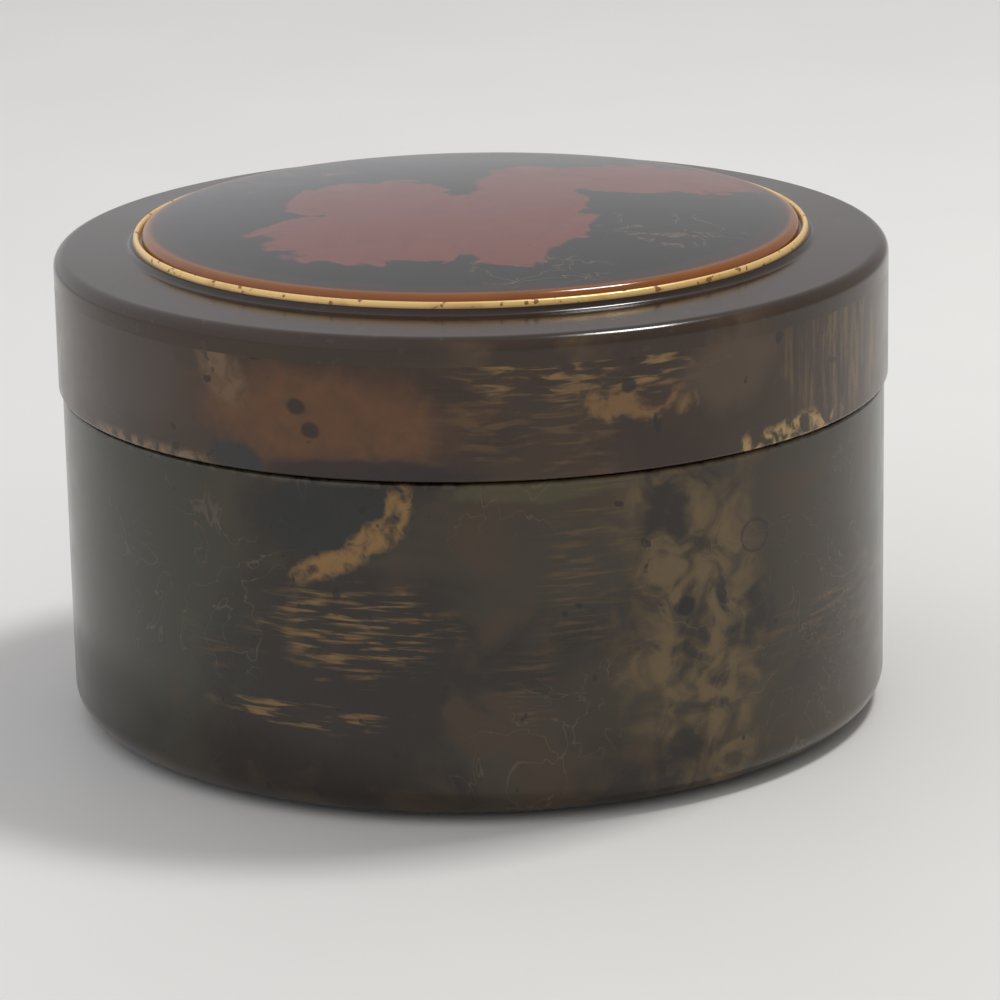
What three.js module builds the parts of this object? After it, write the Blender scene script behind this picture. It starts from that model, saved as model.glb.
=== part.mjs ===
// Round lacquered trinket box: a turned case with a standing collar, and a lift-off lid whose
// stepped top carries a domed panel inside a gilded bead. Millimetres, +Z up, the case stands on
// z = 0 and every piece is turned about the z axis.
import * as THREE from 'three';

// Driving dimensions of the case
const caseRadius = 54.5;
const caseWall = 4.0;
const caseHoopHeight = 43.55;
const baseEdgeRadius = 3.8;
const floorThickness = 4.0;
const rebateDepth = 1.0;
const footRadius = 46.0;
const footWidth = 4.0;
const footHeight = 0.8;
const collarThickness = 2.5;
const collarRise = 7.0;
const collarEdgeRadius = 0.8;

// Driving dimensions of the lid
const lidOverhang = 0.5;
const lidHoopHeight = 14.55;
const lidBoardEdge = 3.5;
const shoulderRadius = 1.7;
const flangeWidth = 9.45;
const flangeRise = 0.4;
const coveHeight = 0.85;
const rimLedge = 0.2;
const rimWidth = 0.9;
const rimHeight = 0.75;
const panelEdgeHeight = 0.3;
const panelEdgeRadius = 1.1;
const crownRise = 2.35;

// Edge break along the two lips that meet at the seam, and the clearances between pieces
const lipBreak = 0.5;
const fitGap = 0.3;
const slidingGap = 0.4;
const seamGap = 0.3;

// How finely the turned pieces are faceted
const segments = 72;
const arcSteps = 5;
const domeSteps = 6;

// Sizes worked out from the ones above
const caseInside = caseRadius - caseWall;
const seamHeight = footHeight + caseHoopHeight;
const floorTop = footHeight + floorThickness;
const collarSeat = floorTop - rebateDepth;
const collarRadius = caseInside - fitGap;
const collarInside = collarRadius - collarThickness;
const lidRadius = caseRadius + lidOverhang;
const lidInside = collarRadius + slidingGap;
const lidLip = seamHeight + seamGap;
const lidBoardBase = lidLip + lidHoopHeight;
const shoulderTop = lidBoardBase + lidBoardEdge;
const coveFoot = lidRadius - flangeWidth;
const coveTop = coveFoot - coveHeight;
const panelSeat = shoulderTop + flangeRise + coveHeight;
const rimOutside = coveTop - rimLedge;
const rimInside = rimOutside - rimWidth;
const panelRadius = rimInside - fitGap;

// Points of an arc in the profile plane, from one angle to another in degrees
function arc(centreR, centreZ, radius, from, to) {
  const points = [];
  for (let i = 0; i <= arcSteps; i += 1) {
    const angle = THREE.MathUtils.degToRad(from + ((to - from) * i) / arcSteps);
    points.push([centreR + radius * Math.cos(angle), centreZ + radius * Math.sin(angle)]);
  }
  return points;
}

// A piece turned about the z axis from its profile of radius and height, run anticlockwise
function turned(name, profile, finish) {
  const points = profile.map(([r, z]) => new THREE.Vector2(r, z));
  const geometry = new THREE.LatheGeometry(points, segments);
  geometry.rotateX(Math.PI / 2);
  const mesh = new THREE.Mesh(geometry, new THREE.MeshStandardMaterial(finish));
  mesh.name = name;
  return mesh;
}

// A ring has its first profile point again at the end, which closes the section
function ring(name, section, finish) {
  return turned(name, [...section, section[0]], finish);
}

const brownLacquer = { color: 0x4a3826, roughness: 0.18, metalness: 0.0 };
const darkLacquer = { color: 0x2c221c, roughness: 0.2, metalness: 0.0 };
const panelLacquer = { color: 0x3a2420, roughness: 0.15, metalness: 0.0 };
const insideLacquer = { color: 0x1c1512, roughness: 0.3, metalness: 0.0 };
const gilding = { color: 0xd9a95a, roughness: 0.35, metalness: 0.9 };

// Low ring under the floor board that the box stands on
function footRing() {
  return ring('foot_ring', [
    [footRadius - footWidth, 0],
    [footRadius, 0],
    [footRadius, footHeight],
    [footRadius - footWidth, footHeight],
  ], darkLacquer);
}

// Disc that closes the bottom of the case hoop, with a rebate round its edge that locates the collar
function floorBoard() {
  const floorRadius = collarInside - fitGap;
  return turned('floor_board', [
    [0, footHeight],
    [collarRadius, footHeight],
    [collarRadius, collarSeat],
    [floorRadius, collarSeat],
    [floorRadius, floorTop],
    [0, floorTop],
  ], insideLacquer);
}

// Outer wall of the case, with a rounded base edge and a broken upper lip
function caseHoop() {
  return ring('case_hoop', [
    [caseInside, footHeight],
    ...arc(caseRadius - baseEdgeRadius, footHeight + baseEdgeRadius, baseEdgeRadius, -90, 0),
    ...arc(caseRadius - lipBreak, seamHeight - lipBreak, lipBreak, 0, 90),
    [caseInside, seamHeight],
  ], brownLacquer);
}

// Lining ring that stands in the floor board's rebate and rises past the seam, so that the lid
// slides on it
function innerCollar() {
  const top = seamHeight + collarRise - collarEdgeRadius;
  return ring('inner_collar', [
    [collarInside, collarSeat],
    [collarRadius, collarSeat],
    ...arc(collarRadius - collarEdgeRadius, top, collarEdgeRadius, 0, 90),
    ...arc(collarInside + collarEdgeRadius, top, collarEdgeRadius, 90, 180),
  ], insideLacquer);
}

// Skirt of the lid
function lidHoop() {
  return ring('lid_hoop', [
    [lidInside, lidLip],
    ...arc(lidRadius - lipBreak, lidLip + lipBreak, lipBreak, -90, 0),
    [lidRadius, lidBoardBase],
    [lidInside, lidBoardBase],
  ], brownLacquer);
}

// Top board of the lid: a rounded shoulder, a slightly crowned flange and a cove up to the seat
// of the bead and the domed panel
function lidTop() {
  return turned('lid_top', [
    [0, lidBoardBase],
    [lidRadius, lidBoardBase],
    ...arc(lidRadius - shoulderRadius, shoulderTop - shoulderRadius, shoulderRadius, 0, 90),
    ...arc(coveFoot, panelSeat, coveHeight, -90, -180),
    [0, panelSeat],
  ], darkLacquer);
}

// Domed panel with a rounded edge, seated inside the bead
function domedPanel() {
  const edgeCentre = panelRadius - panelEdgeRadius;
  const edgeBase = panelSeat + panelEdgeHeight;
  const edgeTop = edgeBase + panelEdgeRadius;
  const edgeSlope = THREE.MathUtils.radToDeg(Math.atan((2 * crownRise) / edgeCentre));
  const dome = [];
  for (let i = 1; i <= domeSteps; i += 1) {
    const r = edgeCentre * (1 - i / domeSteps);
    dome.push([r, edgeTop + crownRise * (1 - (r / edgeCentre) ** 2)]);
  }
  return turned('domed_panel', [
    [0, panelSeat],
    [panelRadius, panelSeat],
    ...arc(edgeCentre, edgeBase, panelEdgeRadius, 0, 90 - edgeSlope),
    ...dome,
  ], panelLacquer);
}

// Gilded half-round bead at the foot of the panel
function giltRim() {
  const section = [];
  const centre = (rimInside + rimOutside) / 2;
  for (let i = 0; i <= arcSteps + 1; i += 1) {
    const angle = (Math.PI * i) / (arcSteps + 1);
    const z = panelSeat + rimHeight * Math.sin(angle);
    section.push([centre + (rimWidth / 2) * Math.cos(angle), i > arcSteps ? panelSeat : z]);
  }
  return ring('gilt_rim', section, gilding);
}

const caseGroup = new THREE.Group();
caseGroup.add(footRing(), floorBoard(), caseHoop(), innerCollar());

const lidGroup = new THREE.Group();
lidGroup.add(lidHoop(), lidTop(), domedPanel(), giltRim());

const box = new THREE.Group();
box.add(caseGroup, lidGroup);

export default box;
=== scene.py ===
import math
import bpy
from mathutils import Matrix, Vector


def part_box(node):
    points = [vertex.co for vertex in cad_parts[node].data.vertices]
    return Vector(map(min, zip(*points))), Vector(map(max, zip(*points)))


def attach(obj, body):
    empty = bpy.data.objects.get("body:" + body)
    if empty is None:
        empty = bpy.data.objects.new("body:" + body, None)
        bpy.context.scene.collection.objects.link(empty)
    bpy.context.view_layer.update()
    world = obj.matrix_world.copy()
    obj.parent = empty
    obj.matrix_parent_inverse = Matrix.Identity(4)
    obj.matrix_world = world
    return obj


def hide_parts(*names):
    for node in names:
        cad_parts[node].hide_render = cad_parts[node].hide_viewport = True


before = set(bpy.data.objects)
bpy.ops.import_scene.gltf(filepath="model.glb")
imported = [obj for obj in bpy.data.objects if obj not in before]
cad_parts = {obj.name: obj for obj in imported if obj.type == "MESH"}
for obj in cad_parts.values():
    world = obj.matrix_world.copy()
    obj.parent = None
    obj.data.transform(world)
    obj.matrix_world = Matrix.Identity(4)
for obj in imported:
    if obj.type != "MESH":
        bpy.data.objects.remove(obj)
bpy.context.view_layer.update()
scene = bpy.context.scene
scene.view_settings.view_transform = "Standard"
mm = 0.001

# The camera looks down at the box from the front by about sixteen degrees, a little rolled,
# from 0.6 m away, as a phone held over a table does. It aims a little past the box's axis.
elevation = 0.2838
roll = -0.0206
distance = 612.43 * mm
look_height = 25 * mm
focal_mm = 164.1
sensor_mm = 36
aim_right = 0.00518
aim_up = 0.00258
forward = Vector((0, math.cos(elevation), -math.sin(elevation)))
level = Vector((1, 0, 0))
upward = level.cross(forward)
right = level * math.cos(roll) + upward * math.sin(roll)
up = upward * math.cos(roll) - level * math.sin(roll)
back = -(forward + right * aim_right + up * aim_up).normalized()
side = up.cross(back).normalized()
camera_data = bpy.data.cameras.new("camera")
camera_data.lens = focal_mm
camera_data.sensor_width = sensor_mm
camera = bpy.data.objects.new("camera", camera_data)
place = Matrix((side, back.cross(side), back)).transposed().to_4x4()
place.translation = Vector((0, 0, look_height)) - forward * distance
camera.matrix_world = place
scene.collection.objects.link(camera)
scene.camera = camera

# The case is a turned wooden hoop lacquered in transparent brown over bronze and gold leaf laid
# on with a brush, so bright strokes, dark blots and green and brown clouds lie under the gloss.
# Its base edge is rounded, and the lip at the seam is broken and a little worn.
case_wall = 4.0 * mm
base_edge = 3.8 * mm
lip = 0.5 * mm
deep_brown = (0.018, 0.012, 0.007, 1)
olive_brown = (0.044, 0.033, 0.018, 1)
warm_brown = (0.062, 0.036, 0.016, 1)
moss = (0.034, 0.036, 0.024, 1)
slate = (0.012, 0.014, 0.012, 1)
bronze_leaf = (0.165, 0.108, 0.042, 1)
green_gold = (0.075, 0.066, 0.024, 1)
orange_gold = (0.24, 0.130, 0.038, 1)
brushed_gold = (0.235, 0.130, 0.040, 1)
faint_gold = (0.16, 0.092, 0.032, 1)
dark_spot = (0.010, 0.007, 0.005, 1)
bubble_brown = (0.012, 0.009, 0.006, 1)
pale_scratch = (0.16, 0.12, 0.07, 1)
rubbed_lip = (0.12, 0.095, 0.065, 1)


class Wire:
    """A value from a shader node. Arithmetic on it adds Math nodes."""

    def __init__(self, nodes, socket):
        self.nodes = nodes
        self.socket = socket

    def __add__(self, other):
        return self.nodes.math("ADD", self, other)

    def __radd__(self, other):
        return self.nodes.math("ADD", other, self)

    def __sub__(self, other):
        return self.nodes.math("SUBTRACT", self, other)

    def __rsub__(self, other):
        return self.nodes.math("SUBTRACT", other, self)

    def __mul__(self, other):
        return self.nodes.math("MULTIPLY", self, other)

    def __rmul__(self, other):
        return self.nodes.math("MULTIPLY", other, self)

    def __truediv__(self, other):
        return self.nodes.math("DIVIDE", self, other)

    def __rtruediv__(self, other):
        return self.nodes.math("DIVIDE", other, self)

    def __abs__(self):
        return self.nodes.math("ABSOLUTE", self)

    def __or__(self, other):
        """The larger of two masks."""
        return self.nodes.math("MAXIMUM", self, other)

    def step(self, low, high):
        """0 below low, 1 above high, and smooth between."""
        inputs = {0: self, 1: low, 2: high}
        return self.nodes.node("ShaderNodeMapRange", {"interpolation_type": "SMOOTHSTEP"}, inputs)


class Nodes:
    """Adds nodes to one node tree."""

    def __init__(self, tree):
        self.tree = tree

    def node(self, kind, settings, inputs, output=0):
        """A node of this type with its settings, and the values or links of its sockets."""
        made = self.tree.nodes.new(kind)
        for key, value in settings.items():
            setattr(made, key, value)
        for key, value in inputs.items():
            if isinstance(value, Wire):
                self.tree.links.new(value.socket, made.inputs[key])
            else:
                made.inputs[key].default_value = value
        return Wire(self, made.outputs[output])

    def math(self, operation, *values):
        return self.node("ShaderNodeMath", {"operation": operation}, dict(enumerate(values)))

    def length(self, a, b):
        """How far the point (a, b) is from the middle."""
        return self.math("SQRT", a * a + b * b)

    def blend(self, mask, under, over):
        """Colour over where mask is 1, colour under where it is 0."""
        return self.node("ShaderNodeMix", {"data_type": "RGBA"}, {0: mask, 6: under, 7: over}, 2)


class Finish(Nodes):
    """One material, which knows each point's own place on the box in millimetres."""

    def __init__(self, name, roughness):
        self.material = bpy.data.materials.new(name)
        self.material.use_nodes = True
        super().__init__(self.material.node_tree)
        self.shader = self.tree.nodes["Principled BSDF"]
        self.shader.inputs["Roughness"].default_value = roughness
        self.shader.inputs["IOR"].default_value = 1.5
        self.place = self.node("ShaderNodeTexCoord", {}, {}, "Object")
        self.x = self.along("X")
        self.y = self.along("Y")
        self.z = self.along("Z")

    def along(self, axis):
        return self.node("ShaderNodeSeparateXYZ", {}, {0: self.place}, axis) * (1 / mm)

    def noise(self, grain, detail=4.0, distortion=0.0, stretch=(1, 1, 1)):
        """Noise whose lumps are about grain millimetres wide, stretched along the axes."""
        scale = tuple(1 / (mm * grain * s) for s in stretch)
        spot = self.node("ShaderNodeMapping", {}, {"Vector": self.place, "Scale": scale})
        inputs = {"Vector": spot, "Scale": 1.0, "Detail": detail, "Distortion": distortion}
        return self.node("ShaderNodeTexNoise", {}, inputs)

    def start(self, mask, under, over):
        """The ground colour that the rest is laid on."""
        self.colour = self.blend(mask, under, over)

    def lay(self, mask, colour):
        """Lays a colour over what is there, where mask is 1."""
        self.colour = self.blend(mask, self.colour, colour)

    def feed(self, name, value):
        self.tree.links.new(value.socket, self.shader.inputs[name])

    def close(self, roughness, height, strength, depth):
        """Feeds the colour, the roughness and a bump of this height, depth millimetres deep."""
        self.feed("Base Color", self.colour)
        self.feed("Roughness", roughness)
        inputs = {"Height": height, "Strength": strength, "Distance": depth * mm}
        self.feed("Normal", self.node("ShaderNodeBump", {}, inputs))


def reach(node):
    """Radius, foot and top of a CAD node, in metres."""
    low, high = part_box(node)
    return high[0], low[2], high[2]


case_r, case_foot, seam = reach("case_hoop")


class SideFinish(Finish):
    """A finish on the side, where a place is an angle from the front and a height."""

    def __init__(self, name, roughness):
        super().__init__(name, roughness)
        self.around = self.math("ARCTAN2", self.x, self.y * -1) * (case_r / mm)

    def blot(self, at, size, fray, ragged, lean=0.0, soft=0.25):
        """A ragged patch at (degrees, height in mm), of a half width and a half height in mm."""
        degrees, height = at
        across = self.around - math.radians(degrees) * case_r / mm
        along = self.z - height
        far = self.length((across + along * lean) / size[0], along / size[1])
        return 1 - (far + (ragged - 0.5) * fray).step(1 - soft, 1 + soft)

    def start_clouds(self):
        """The clouds that both sides share: dark brown, olive brown and warm brown."""
        self.start(self.noise(26, 5, 0.6).step(0.42, 0.62), deep_brown, olive_brown)
        self.lay(self.noise(17, 5, 0.9, (1, 1, 0.8)).step(0.5, 0.66) * 0.7, warm_brown)


def arc(centre_r, centre_z, radius, start, end, steps=10):
    """Points of an arc in a turned profile, with angles in degrees."""
    points = []
    for i in range(steps + 1):
        angle = math.radians(start + (end - start) * i / steps)
        points.append((centre_r + radius * math.cos(angle), centre_z + radius * math.sin(angle)))
    return points


def turned(name, profile, body, node, finish, turns=288, sharp=35):
    """A piece turned from a profile, which rides with its body and stands for its CAD node.

    The profile closes on itself, or starts and ends on the axis. Edges over sharp degrees are
    shown as edges.
    """
    on_axis = 1e-9
    vertices = []
    rings = []
    for r, z in profile:
        if r < on_axis:
            rings.append([len(vertices)] * turns)
            vertices.append((0, 0, z))
            continue
        rings.append(list(range(len(vertices), len(vertices) + turns)))
        for i in range(turns):
            angle = 2 * math.pi * i / turns
            vertices.append((r * math.cos(angle), r * math.sin(angle), z))
    closed = profile[0][0] > on_axis
    faces = []
    for j in range(len(rings) - (0 if closed else 1)):
        low = rings[j]
        high = rings[(j + 1) % len(rings)]
        for i in range(turns):
            k = (i + 1) % turns
            corners = list(dict.fromkeys((low[i], low[k], high[k], high[i])))
            if len(corners) > 2:
                faces.append(corners)
    mesh = bpy.data.meshes.new(name)
    mesh.from_pydata(vertices, [], faces)
    mesh.polygons.foreach_set("use_smooth", [True] * len(mesh.polygons))
    mesh.set_sharp_from_angle(angle=math.radians(sharp))
    mesh.materials.append(finish.material)
    piece = bpy.data.objects.new(name, mesh)
    scene.collection.objects.link(piece)
    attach(piece, body)
    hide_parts(node)


case_side = SideFinish("case_leaf_lacquer", 0.16)
fine = case_side.noise(2.2, 6, 0.5)
coarse = case_side.noise(6, 6, 0.8)
strokes = case_side.noise(6, 8, 0.5, (1, 1, 0.10)).step(0.47, 0.66)
case_side.start_clouds()
case_side.lay(case_side.blot((-62, 30), (24, 26), 1.2, coarse, soft=0.5) * 0.8, moss)
case_side.lay(case_side.blot((-19, 39.5), (10, 5), 1.1, coarse) * 0.85, slate)
leaf_and_highlight = case_side.blot((30, 24), (9, 24), 1.6, coarse, lean=0.1, soft=0.5)
case_side.lay(leaf_and_highlight * case_side.noise(5, 9, 0.9).step(0.36, 0.64) * 0.85, bronze_leaf)
case_side.lay(case_side.blot((8, 43.3), (11, 1.6), 1.2, coarse) * 0.7, green_gold)
zigzag = case_side.blot((-10.2, 41), (1.7, 3.6), 1.8, fine, lean=-0.15)
zigzag = zigzag | case_side.blot((-13.2, 37.4), (3.0, 2.8), 1.7, fine, lean=-0.9)
zigzag = zigzag | case_side.blot((-19.6, 33.6), (3.6, 2.4), 1.8, fine, lean=-1.6)
case_side.lay(zigzag * fine.step(0.30, 0.58), orange_gold)
brushed = case_side.blot((-17, 25), (11, 5.5), 1.4, coarse, soft=0.45) * strokes
brushed = brushed | (case_side.blot((-24, 13.5), (12, 1.6), 1.4, coarse) * strokes)
case_side.lay(brushed * 0.85, brushed_gold)
case_side.lay(case_side.noise(38, 3, 0.4).step(0.58, 0.66) * strokes * 0.42, faint_gold)
spots = case_side.blot((28.2, 26.3), (1.5, 1.3), 0.9, fine)
spots = spots | (case_side.blot((27.9, 8.1), (2.4, 2.2), 0.8, fine) * 0.8)
spots = spots | (case_side.noise(3.2, 2).step(0.70, 0.74) * 0.8)
case_side.lay(spots, dark_spot)
bubble_rim = case_side.blot((39.6, 33.5), (2.4, 2.2), 0.3, fine, soft=0.08)
bubble = bubble_rim - case_side.blot((39.6, 33.5), (2.1, 1.9), 0.3, fine, soft=0.08)
case_side.lay(bubble * 0.7, bubble_brown)
scratch = 1 - abs(case_side.noise(11, 3, 1.4) - 0.5).step(0.002, 0.007)
case_side.lay(scratch * case_side.noise(30, 2).step(0.52, 0.6) * 0.35, pale_scratch)
lip_wear = case_side.z.step(seam / mm - 0.9, seam / mm - 0.2) * fine.step(0.4, 0.6)
case_side.lay(lip_wear * 0.5, rubbed_lip)
case_height = coarse * 0.7 + (zigzag | brushed) * 0.2 + fine * 0.1
case_side.close(0.12 + coarse * 0.16, case_height, 0.35, 0.06)
hoop_profile = [(case_r - case_wall, case_foot)]
hoop_profile += arc(case_r - base_edge, case_foot + base_edge, base_edge, -90, 0, 16)
hoop_profile += arc(case_r - lip, seam - lip, lip, 0, 90)
hoop_profile += [(case_r - case_wall, seam)]
turned("case_wall", hoop_profile, "case", "case_hoop", case_side)

# The inside of the box is plain black lacquer over wood, rubbed to a soft gloss, on the floor
# disc and on the collar ring that the lid slides over. The collar stands in a rebate round the
# disc, and its upper edge is worn brown by use.
collar_r, collar_foot, collar_top = reach("inner_collar")
collar_wall = 2.5 * mm
collar_edge = 0.8 * mm
collar_gap = 0.3 * mm
soft_black = (0.008, 0.006, 0.005, 1)
brown_black = (0.020, 0.013, 0.010, 1)
worn_brown = (0.11, 0.055, 0.025, 1)
inside = Finish("inside_black_lacquer", 0.28)
grain = inside.noise(9, 5, 0.4)
inside.start(grain, soft_black, brown_black)
worn = inside.z.step(collar_top / mm - 1.0, collar_top / mm) * inside.noise(4, 5).step(0.45, 0.65)
inside.lay(worn * 0.7, worn_brown)
inside.close(0.22 + grain * 0.2, grain, 0.3, 0.05)
collar_inside = collar_r - collar_wall
collar_round = collar_top - collar_edge
collar_profile = [(collar_inside, collar_foot), (collar_r, collar_foot)]
collar_profile += arc(collar_r - collar_edge, collar_round, collar_edge, 0, 90)
collar_profile += arc(collar_inside + collar_edge, collar_round, collar_edge, 90, 180)
turned("collar_ring", collar_profile, "case", "inner_collar", inside)
board_r, board_foot, board_top = reach("floor_board")
board_inside = collar_inside - collar_gap
board_profile = [(0, board_foot), (board_r, board_foot), (board_r, collar_foot)]
board_profile += [(board_inside, collar_foot), (board_inside, board_top), (0, board_top)]
turned("floor_disc", board_profile, "case", "floor_board", inside)

# The foot is a low ring of dark lacquered wood glued under the floor, rubbed bare where it
# touches the table.
foot_r, foot_low, foot_top = reach("foot_ring")
foot_inside = foot_r - 4.0 * mm
foot_dark = (0.018, 0.012, 0.009, 1)
bare_wood = (0.05, 0.032, 0.020, 1)
foot_lacquer = Finish("foot_dark_lacquer", 0.35)
rubbed = foot_lacquer.noise(5, 5).step(0.45, 0.65)
foot_lacquer.start(rubbed, foot_dark, bare_wood)
foot_lacquer.close(0.3 + rubbed * 0.25, foot_lacquer.noise(3, 5), 0.3, 0.05)
foot_profile = [(foot_inside, foot_low), (foot_r, foot_low)]
foot_profile += [(foot_r, foot_top), (foot_inside, foot_top)]
turned("foot", foot_profile, "case", "foot_ring", foot_lacquer)

# The lid's skirt is a second hoop in the same leaf-and-lacquer finish, redder and with brighter
# flecks, worn through to tan along the lip that is gripped to open the box.
lid_r, lid_lip, board_base = reach("lid_hoop")
lid_wall = 4.4 * mm
red_brown = (0.044, 0.019, 0.009, 1)
grey_brown = (0.062, 0.044, 0.034, 1)
amber = (0.130, 0.052, 0.015, 1)
worn_tan = (0.150, 0.086, 0.044, 1)
bright_leaf = (0.30, 0.175, 0.062, 1)
orange_leaf = (0.24, 0.125, 0.040, 1)
plain_brown = (0.100, 0.064, 0.038, 1)
streaked_leaf = (0.20, 0.118, 0.042, 1)
thin_leaf = (0.18, 0.100, 0.034, 1)
plum = (0.016, 0.008, 0.010, 1)
blue_chip = (0.022, 0.024, 0.026, 1)
tan_lip = (0.23, 0.150, 0.085, 1)
gilt_lip = (0.46, 0.300, 0.110, 1)
lid_spot = (0.012, 0.008, 0.006, 1)
skirt = SideFinish("lid_leaf_lacquer", 0.16)
fine = skirt.noise(2.2, 6, 0.5)
coarse = skirt.noise(6, 6, 0.8)
strokes = skirt.noise(5, 8, 0.6, (1, 1, 0.18)).step(0.46, 0.66)
skirt.start_clouds()
skirt.lay(0.45 + coarse * 0.2, red_brown)
skirt.lay(skirt.blot((-58, 55), (18, 8), 1.0, coarse, soft=0.5) * 0.8, grey_brown)
amber_zone = skirt.blot((-20, 52), (16, 6), 1.2, coarse, lean=0.2, soft=0.5)
skirt.lay(amber_zone * (0.4 + fine * 0.8), amber)
tan_arc = skirt.blot((-34.5, 57.2), (3.2, 4.6), 1.2, fine, lean=0.4)
tan_arc = tan_arc | skirt.blot((-30.5, 60.6), (4.5, 1.3), 1.2, fine)
skirt.lay(tan_arc * fine.step(0.25, 0.65), worn_tan)
flecks = skirt.blot((16, 59), (14, 4), 1.3, coarse, soft=0.5) * strokes
skirt.lay(flecks * 0.85, bright_leaf)
patches = skirt.blot((22, 53.5), (7, 2.2), 1.8, fine) * coarse.step(0.42, 0.58)
skirt.lay(patches * 0.8, orange_leaf)
skirt.lay(skirt.blot((35, 56), (7, 5), 0.9, coarse, soft=0.4) * 0.75, plain_brown)
upright = skirt.noise(3, 8, 0.6, (0.35, 0.35, 3)).step(0.40, 0.72)
skirt.lay(skirt.blot((62, 54), (14, 9), 1.2, coarse, soft=0.4) * upright * 0.7, streaked_leaf)
skirt.lay(skirt.noise(34, 3, 0.4).step(0.56, 0.66) * strokes * 0.35, thin_leaf)
skirt.lay(skirt.blot((-14, 45.4), (13, 1.9), 1.0, coarse) * 0.85, plum)
skirt.lay(skirt.blot((-32.3, 46.2), (3.6, 2.2), 0.8, fine, lean=0.5) * 0.85, blue_chip)
lip_band = 1 - skirt.z.step(lid_lip / mm + 0.5, lid_lip / mm + 1.9)
lip_wear = lip_band * skirt.blot((-50, 45.4), (12, 4), 0.9, coarse) * fine.step(0.35, 0.6)
skirt.lay(lip_wear * 0.85, tan_lip)
lip_leaf = skirt.blot((47, 45.2), (9, 2.4), 1.0, coarse) * fine.step(0.45, 0.6)
skirt.lay(lip_leaf * 0.9, gilt_lip)
spots = skirt.blot((-29.1, 59.7), (1.2, 0.8), 0.8, fine)
for degrees, height, width in ((-36.6, 55.7, 0.6), (-23.4, 53.6, 1.3), (-21.4, 50.8, 1.2), (20, 55.6, 1.1)):
    spots = spots | skirt.blot((degrees, height), (width, width * 0.8), 0.8, fine)
spots = spots | (skirt.noise(3.0, 2).step(0.69, 0.73) * 0.8)
skirt.lay(spots * 0.85, lid_spot)
skirt_roughness = 0.12 + coarse * 0.18 + lip_wear * 0.15
skirt.close(skirt_roughness, coarse * 0.7 + flecks * 0.25 + fine * 0.1, 0.35, 0.06)
skirt_profile = [(lid_r - lid_wall, lid_lip)]
skirt_profile += arc(lid_r - lip, lid_lip + lip, lip, -90, 0)
skirt_profile += [(lid_r, board_base), (lid_r - lid_wall, board_base)]
turned("lid_skirt", skirt_profile, "lid", "lid_hoop", skirt)

# The top board carries the rounded shoulder, the slightly crowned flange and the cove up to the
# bead. Its lacquer is a plain dark brown, thinned to a warmer brown along the shoulder. A lighter
# gold-brown band on the shoulder at the right is painted highlight, where a thin line of light falls.
top_r, top_foot, panel_seat = reach("lid_top")
shoulder = 1.7 * mm
board_edge = 3.5 * mm
flange_width = 9.45 * mm
cove = 0.85 * mm
shoulder_top = top_foot + board_edge
flange_dark = (0.020, 0.011, 0.007, 1)
flange_brown = (0.040, 0.022, 0.013, 1)
shoulder_brown = (0.045, 0.026, 0.014, 1)
shoulder_highlight = (0.20, 0.125, 0.055, 1)
pale_speck = (0.08, 0.06, 0.045, 1)
flange = SideFinish("flange_brown_lacquer", 0.2)
cloud = flange.noise(15, 5, 0.5)
specks = flange.noise(1.6, 4)
flange.start(cloud, flange_dark, flange_brown)
edge = 1 - flange.z.step(shoulder_top / mm - 0.9, shoulder_top / mm)
flange.lay(edge * 0.7, shoulder_brown)
# A lighter gold-brown band on the right of the shoulder, which is painted highlight.
leaf_and_highlight = edge * (1 - abs(flange.around / 30 - 0.55).step(0.3, 0.9)) * cloud.step(0.4, 0.6)
flange.lay(leaf_and_highlight * 0.6, shoulder_highlight)
flange.lay(specks.step(0.62, 0.7) * 0.3, pale_speck)
flange.close(0.12 + cloud * 0.12, cloud + specks * 0.1, 0.3, 0.06)
top_profile = [(0, top_foot), (top_r, top_foot)]
top_profile += arc(top_r - shoulder, shoulder_top - shoulder, shoulder, 0, 90, 14)
top_profile += arc(top_r - flange_width, panel_seat, cove, -90, -180, 12)
top_profile += [(0, panel_seat)]
turned("lid_board", top_profile, "lid", "lid_top", flange)

# The bead is a half-round moulding gilded over red-brown lacquer. The gilding is rubbed thin,
# so it is browner in places and chipped. Along its foot it is darkened towards that red-brown,
# which is painted shade in the crease where the bead meets the board.
rim_r, rim_foot, rim_top = reach("gilt_rim")
rim_half = 0.45 * mm
rim_steps = 14
bright_gilt = (0.92, 0.62, 0.24, 1)
thin_gilt = (0.60, 0.33, 0.10, 1)
under_gilt_and_shade = (0.30, 0.13, 0.035, 1)
gilt = Finish("worn_gilding", 0.3)
rub = gilt.noise(7, 5, 0.6).step(0.50, 0.70)
chips = gilt.noise(1.3, 4).step(0.60, 0.66)
# The lowest fraction of a millimetre of the bead is darkened, which is painted shade in the crease at its
# foot.
bead_foot_shade = 1 - gilt.z.step(rim_foot / mm + 0.05, rim_foot / mm + 0.3)
gilt.start(rub * 0.45, bright_gilt, thin_gilt)
# The red-brown colour shows the ground in the chips and is painted shade along the foot.
gilt.lay(chips | (bead_foot_shade * 0.4), under_gilt_and_shade)
gilt.feed("Metallic", 0.35 - chips * 0.3)
gilt.close(0.26 + rub * 0.2, chips * -1 + rub * 0.3, 0.4, 0.04)
rim_profile = []
for step in range(rim_steps + 1):
    angle = math.pi * step / rim_steps
    height = panel_seat + (rim_top - panel_seat) * max(math.sin(angle), 0)
    rim_profile.append((rim_r - rim_half + rim_half * math.cos(angle), height))
turned("gilt_bead", rim_profile, "lid", "gilt_rim", gilt, turns=360)

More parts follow.
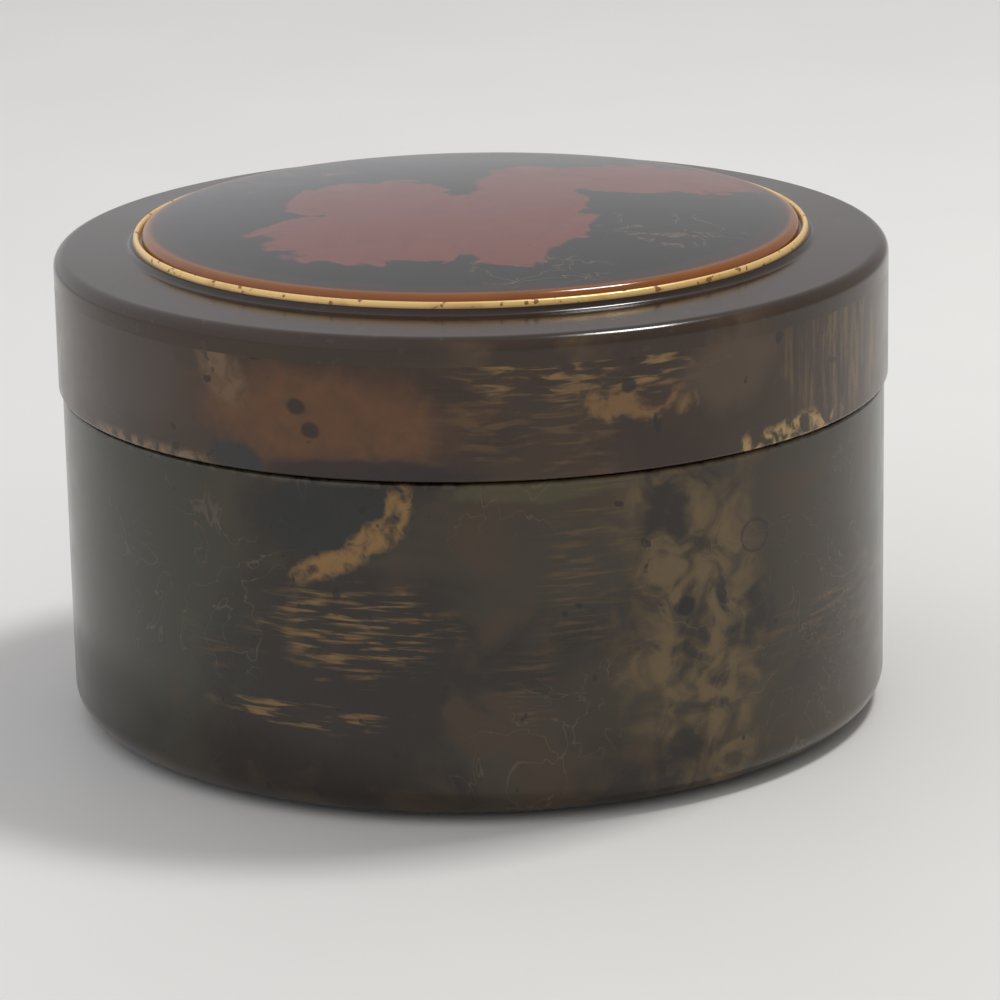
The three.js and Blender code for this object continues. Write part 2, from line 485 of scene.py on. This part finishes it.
# The panel is a shallow dome of polished black lacquer with a ragged brick-red field rubbed up
# through it, fine pale veins, and a rounded edge where the lacquer thins to orange-brown.
panel_r, panel_foot, crown = reach("domed_panel")
panel_edge = 1.1 * mm
edge_height = 0.3 * mm
edge_r = panel_r - panel_edge
edge_top = panel_foot + edge_height + panel_edge
slope = math.degrees(math.atan(2 * (crown - edge_top) / edge_r))
dome_steps = 24
black = (0.006, 0.005, 0.005, 1)
smoky_black = (0.020, 0.017, 0.014, 1)
deep_red = (0.120, 0.026, 0.018, 1)
brick_red = (0.185, 0.050, 0.036, 1)
pale_vein = (0.14, 0.095, 0.055, 1)
rim_brown = (0.060, 0.022, 0.010, 1)
edge_orange = (0.255, 0.080, 0.014, 1)
panel = Finish("panel_red_black_lacquer", 0.1)


def pool(at, size, fray, soft=0.04):
    """A ragged round patch on the panel, seen from above: its place and half sizes in mm."""
    far = panel.length((panel.x - at[0]) / size[0], (panel.y - at[1]) / size[1])
    return 1 - (far + (ragged - 0.5) * fray).step(1 - soft, 1 + soft)


ragged = panel.noise(7, 8, 1.0)
lace = panel.noise(3, 6, 0.6)
red = pool((-9, -15), (18, 15), 0.9) | pool((-13, 3), (11, 12), 0.9)
red = red | pool((23, 17), (16, 11), 0.9) | pool((6, -10), (9.5, 21), 0.9)
red = red | pool((8, 14), (8, 11), 0.9)
inlet = pool((-2, 25), (5, 15), 1.2)
red = red * (1 - inlet) * (1 - lace.step(0.66, 0.74) * 0.6)
brick = panel.blend(lace, deep_red, brick_red)
panel.start(ragged, black, smoky_black)
panel.lay(red, brick)
vein = 1 - abs(panel.noise(10, 3, 1.8) - 0.5).step(0.003, 0.012)
veined = pool((9, -34), (9, 6), 0.8, 0.3) | pool((26, -14), (9, 8), 0.8, 0.3)
veined = veined | pool((-26, 22), (10, 8), 0.8, 0.3)
panel.lay(vein * veined * 0.8, pale_vein)
outward = panel.length(panel.x, panel.y)
panel.lay(outward.step(edge_r / mm - 3.5, edge_r / mm + 0.2) * 0.6, rim_brown)
orange = outward.step(edge_r / mm - 0.6, edge_r / mm + 0.5) * (0.75 + ragged * 0.4)
panel.lay(orange, edge_orange)
panel_height = panel.noise(22, 3) + red * 0.06 + lace * 0.04
panel.close(0.09 + ragged * 0.10 + red * 0.04, panel_height, 0.25, 0.08)
panel_profile = [(0, panel_foot), (panel_r, panel_foot)]
panel_profile += arc(edge_r, panel_foot + edge_height, panel_edge, 0, 90 - slope, 14)
for step in range(1, dome_steps + 1):
    share = 1 - step / dome_steps
    panel_profile.append((edge_r * share, edge_top + (crown - edge_top) * (1 - share * share)))
turned("red_black_panel", panel_profile, "lid", "domed_panel", panel)

# The box stands on a plain pale table top, wide enough to fill the view.
table_half = 4.0
table_white = (0.78, 0.77, 0.74, 1)
table_bright = (0.84, 0.82, 0.785, 1)
table_mesh = bpy.data.meshes.new("table")
table_corners = [(-table_half, -table_half, 0), (table_half, -table_half, 0)]
table_corners += [(table_half, table_half, 0), (-table_half, table_half, 0)]
table_mesh.from_pydata(table_corners, [], [(0, 1, 2, 3)])
table = bpy.data.objects.new("table", table_mesh)
scene.collection.objects.link(table)
table_finish = Finish("pale_table", 0.5)
table_finish.shader.inputs["Specular IOR Level"].default_value = 0.2
table_finish.start(table_finish.noise(60, 5), table_white, table_bright)
table_finish.feed("Base Color", table_finish.colour)
table_mesh.materials.append(table_finish.material)

# Soft daylight: a pale room all round, brighter on the left, and one soft lamp above right that
# draws the thin highlight on the lid's shoulder.
bright_wall = (0.80, 0.81, 0.86, 1)
dim_wall = (0.42, 0.41, 0.40, 1)
lamp_place = Vector((0.30, 0.12, 0.85))
world = bpy.data.worlds.new("room")
scene.world = world
world.use_nodes = True
room = Nodes(world.node_tree)
direction = room.node("ShaderNodeTexCoord", {}, {}, "Generated")
sideways = room.node("ShaderNodeSeparateXYZ", {}, {0: direction}, "X")
fade = room.node("ShaderNodeMapRange", {}, {0: sideways, 1: -0.7, 2: 0.5})
walls = room.blend(fade, bright_wall, dim_wall)
room.tree.links.new(walls.socket, room.tree.nodes["Background"].inputs["Color"])
lamp_data = bpy.data.lights.new("window", "AREA")
lamp_data.energy = 3.6
lamp_data.size = 0.16
lamp = bpy.data.objects.new("window", lamp_data)
lamp.location = lamp_place
lamp.rotation_euler = lamp_place.to_track_quat("Z", "Y").to_euler()
scene.collection.objects.link(lamp)
